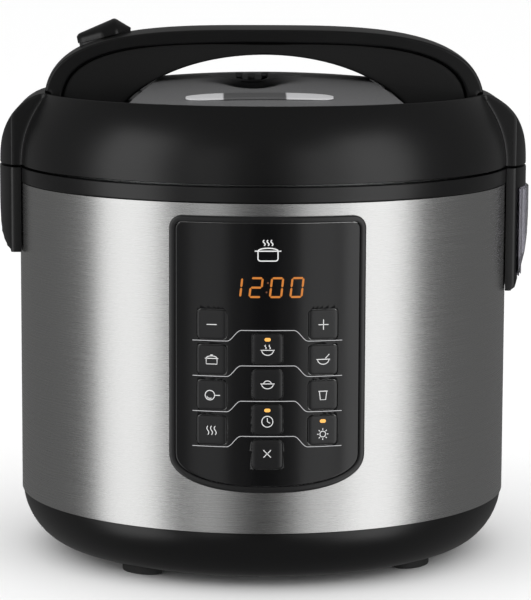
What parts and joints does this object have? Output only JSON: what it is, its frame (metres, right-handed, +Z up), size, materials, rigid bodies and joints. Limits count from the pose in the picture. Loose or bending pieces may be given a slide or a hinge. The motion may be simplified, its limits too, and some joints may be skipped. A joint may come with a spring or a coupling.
{
  "type": "electric pressure cooker",
  "caption": "Round electric pressure cooker with brushed steel housing, black lift-off lid with arched handle, front key panel with digit display and side condensation cup.",
  "frame": {"origin": "on the table surface under the centre of the round body, at the bottom of the feet", "axes": "+Z up, -Y to the front with the control panel, +X to the right with the condensation cup"},
  "size_m": [0.3051, 0.2836, 0.3062],
  "materials": {
    "black_plastic": "satin black moulded plastic",
    "rubber": "matt black rubber",
    "brushed_steel": "horizontally brushed",
    "pot_metal": "satin pressed metal",
    "cast_aluminium": "cast, matt",
    "plain_steel": "plain bright steel",
    "grey_paint": "dark grey metallic satin paint",
    "silver_film": "satin silver film",
    "gloss_black": "high gloss black",
    "key_black": "soft gloss black",
    "smoky_plastic": "clear smoky grey plastic",
    "silicone": "translucent white silicone",
    "circuit_board": "green solder mask",
    "white_plastic": "natural white plastic"
  },
  "bodies": {
    "base": {"base_shell": "black_plastic", "bottom_cover": "black_plastic", "bottom_screw_1": "plain_steel", "bottom_screw_2": "plain_steel", "bottom_screw_3": "plain_steel", "foot_1": "rubber", "foot_2": "rubber", "foot_3": "rubber", "foot_4": "rubber", "steel_housing": "brushed_steel", "top_ring": "black_plastic", "left_bracket": "black_plastic", "right_bracket": "black_plastic", "outer_pot": "pot_metal", "heating_plate": "cast_aluminium", "sensor_bracket": "plain_steel", "sensor_spring": "plain_steel", "power_board": "circuit_board", "pressure_switch": "black_plastic", "power_socket": "black_plastic", "panel_bezel": "gloss_black", "panel_face": "gloss_black", "display_module": "gloss_black", "control_board": "circuit_board"},
    "lid_slider": {"lid_position_slider": "white_plastic"},
    "lid": {"lid_shell": "black_plastic", "lid_top_plate": "grey_paint", "plate_strip": "silver_film", "handle_cover": "black_plastic", "handle_base": "black_plastic", "handle_screw_left": "plain_steel", "handle_screw_right": "plain_steel", "release_valve_tube": "cast_aluminium", "inner_lid": "pot_metal", "steam_filter_cap": "pot_metal", "sealing_ring": "silicone", "sealing_ring_rack": "plain_steel"},
    "release_knob": {"pressure_release_knob": "black_plastic"},
    "float_valve": {"float_valve_pin": "cast_aluminium", "float_valve_seal": "silicone"},
    "steam_vent": {"steam_vent_cap": "grey_paint"},
    "inner_pot": {"inner_pot": "pot_metal"},
    "condensation_cup": {"condensation_cup": "smoky_plastic"},
    "thermal_sensor": {"thermal_sensor": "cast_aluminium"},
    "key_centre_1": {"key_centre_1": "key_black"},
    "key_centre_2": {"key_centre_2": "key_black"},
    "key_centre_3": {"key_centre_3": "key_black"},
    "key_centre_4": {"key_centre_4": "key_black"},
    "key_left_1": {"key_left_1": "key_black"},
    "key_left_2": {"key_left_2": "key_black"},
    "key_left_3": {"key_left_3": "key_black"},
    "key_right_1": {"key_right_1": "key_black"},
    "key_right_2": {"key_right_2": "key_black"},
    "key_right_3": {"key_right_3": "key_black"},
    "key_minus": {"key_minus": "key_black"},
    "key_plus": {"key_plus": "key_black"}
  },
  "joints": [
    {"name": "lid_turn", "type": "hinge", "parent": "base", "child": "lid_slider", "pos_m": [0, 0, 0.2212], "axis": [0, 0, 1], "range_deg": [-30, 0]},
    {"name": "lid_lift", "type": "slide", "parent": "lid_slider", "child": "lid", "axis": [0, 0, 1], "range_m": [0, 0.34]},
    {"name": "inner_pot_lift", "type": "slide", "parent": "base", "child": "inner_pot", "axis": [0, 0, 1], "range_m": [0, 0.17]},
    {"name": "release_knob_turn", "type": "hinge", "parent": "lid", "child": "release_knob", "pos_m": [-0.0896, 0, 0.294], "axis": [-0.2523, 0, 0.9676], "range_deg": [0, 40]},
    {"name": "float_valve_rise", "type": "slide", "parent": "lid", "child": "float_valve", "axis": [0, 0, 1], "range_m": [0, 0.005]},
    {"name": "steam_vent_lift", "type": "slide", "parent": "lid", "child": "steam_vent", "axis": [0, 0, 1], "range_m": [0, 0.008]},
    {"name": "condensation_cup_pull", "type": "slide", "parent": "base", "child": "condensation_cup", "axis": [0, 0, -1], "range_m": [0, 0.05]},
    {"name": "thermal_sensor_press", "type": "slide", "parent": "base", "child": "thermal_sensor", "axis": [0, 0, -1], "range_m": [0, 0.003], "stiffness_N_per_m": 300, "springref_m": -0.003, "deforming": ["sensor_spring"]},
    {"name": "key_centre_1_press", "type": "slide", "parent": "base", "child": "key_centre_1", "axis": [0, 1, 0], "range_m": [0, 0.0008], "stiffness_N_per_m": 400, "springref_m": -0.002},
    {"name": "key_centre_2_press", "type": "slide", "parent": "base", "child": "key_centre_2", "axis": [0, 1, 0], "range_m": [0, 0.0008], "stiffness_N_per_m": 400, "springref_m": -0.002},
    {"name": "key_centre_3_press", "type": "slide", "parent": "base", "child": "key_centre_3", "axis": [0, 1, 0], "range_m": [0, 0.0008], "stiffness_N_per_m": 400, "springref_m": -0.002},
    {"name": "key_centre_4_press", "type": "slide", "parent": "base", "child": "key_centre_4", "axis": [0, 1, 0], "range_m": [0, 0.0008], "stiffness_N_per_m": 400, "springref_m": -0.002},
    {"name": "key_left_1_press", "type": "slide", "parent": "base", "child": "key_left_1", "axis": [0.2106, 0.9776, 0], "range_m": [0, 0.0008], "stiffness_N_per_m": 400, "springref_m": -0.002},
    {"name": "key_left_2_press", "type": "slide", "parent": "base", "child": "key_left_2", "axis": [0.2106, 0.9776, 0], "range_m": [0, 0.0008], "stiffness_N_per_m": 400, "springref_m": -0.002},
    {"name": "key_left_3_press", "type": "slide", "parent": "base", "child": "key_left_3", "axis": [0.2106, 0.9776, 0], "range_m": [0, 0.0008], "stiffness_N_per_m": 400, "springref_m": -0.002},
    {"name": "key_right_1_press", "type": "slide", "parent": "base", "child": "key_right_1", "axis": [-0.2106, 0.9776, 0], "range_m": [0, 0.0008], "stiffness_N_per_m": 400, "springref_m": -0.002},
    {"name": "key_right_2_press", "type": "slide", "parent": "base", "child": "key_right_2", "axis": [-0.2106, 0.9776, 0], "range_m": [0, 0.0008], "stiffness_N_per_m": 400, "springref_m": -0.002},
    {"name": "key_right_3_press", "type": "slide", "parent": "base", "child": "key_right_3", "axis": [-0.2106, 0.9776, 0], "range_m": [0, 0.0008], "stiffness_N_per_m": 400, "springref_m": -0.002},
    {"name": "key_minus_press", "type": "slide", "parent": "base", "child": "key_minus", "axis": [0.2106, 0.9776, 0], "range_m": [0, 0.0008], "stiffness_N_per_m": 400, "springref_m": -0.002},
    {"name": "key_plus_press", "type": "slide", "parent": "base", "child": "key_plus", "axis": [-0.2106, 0.9776, 0], "range_m": [0, 0.0008], "stiffness_N_per_m": 400, "springref_m": -0.002}
  ],
  "couplings": [
    {"joint": "inner_pot_lift", "follows": "lid_lift", "ratio": 0.5}
  ]
}
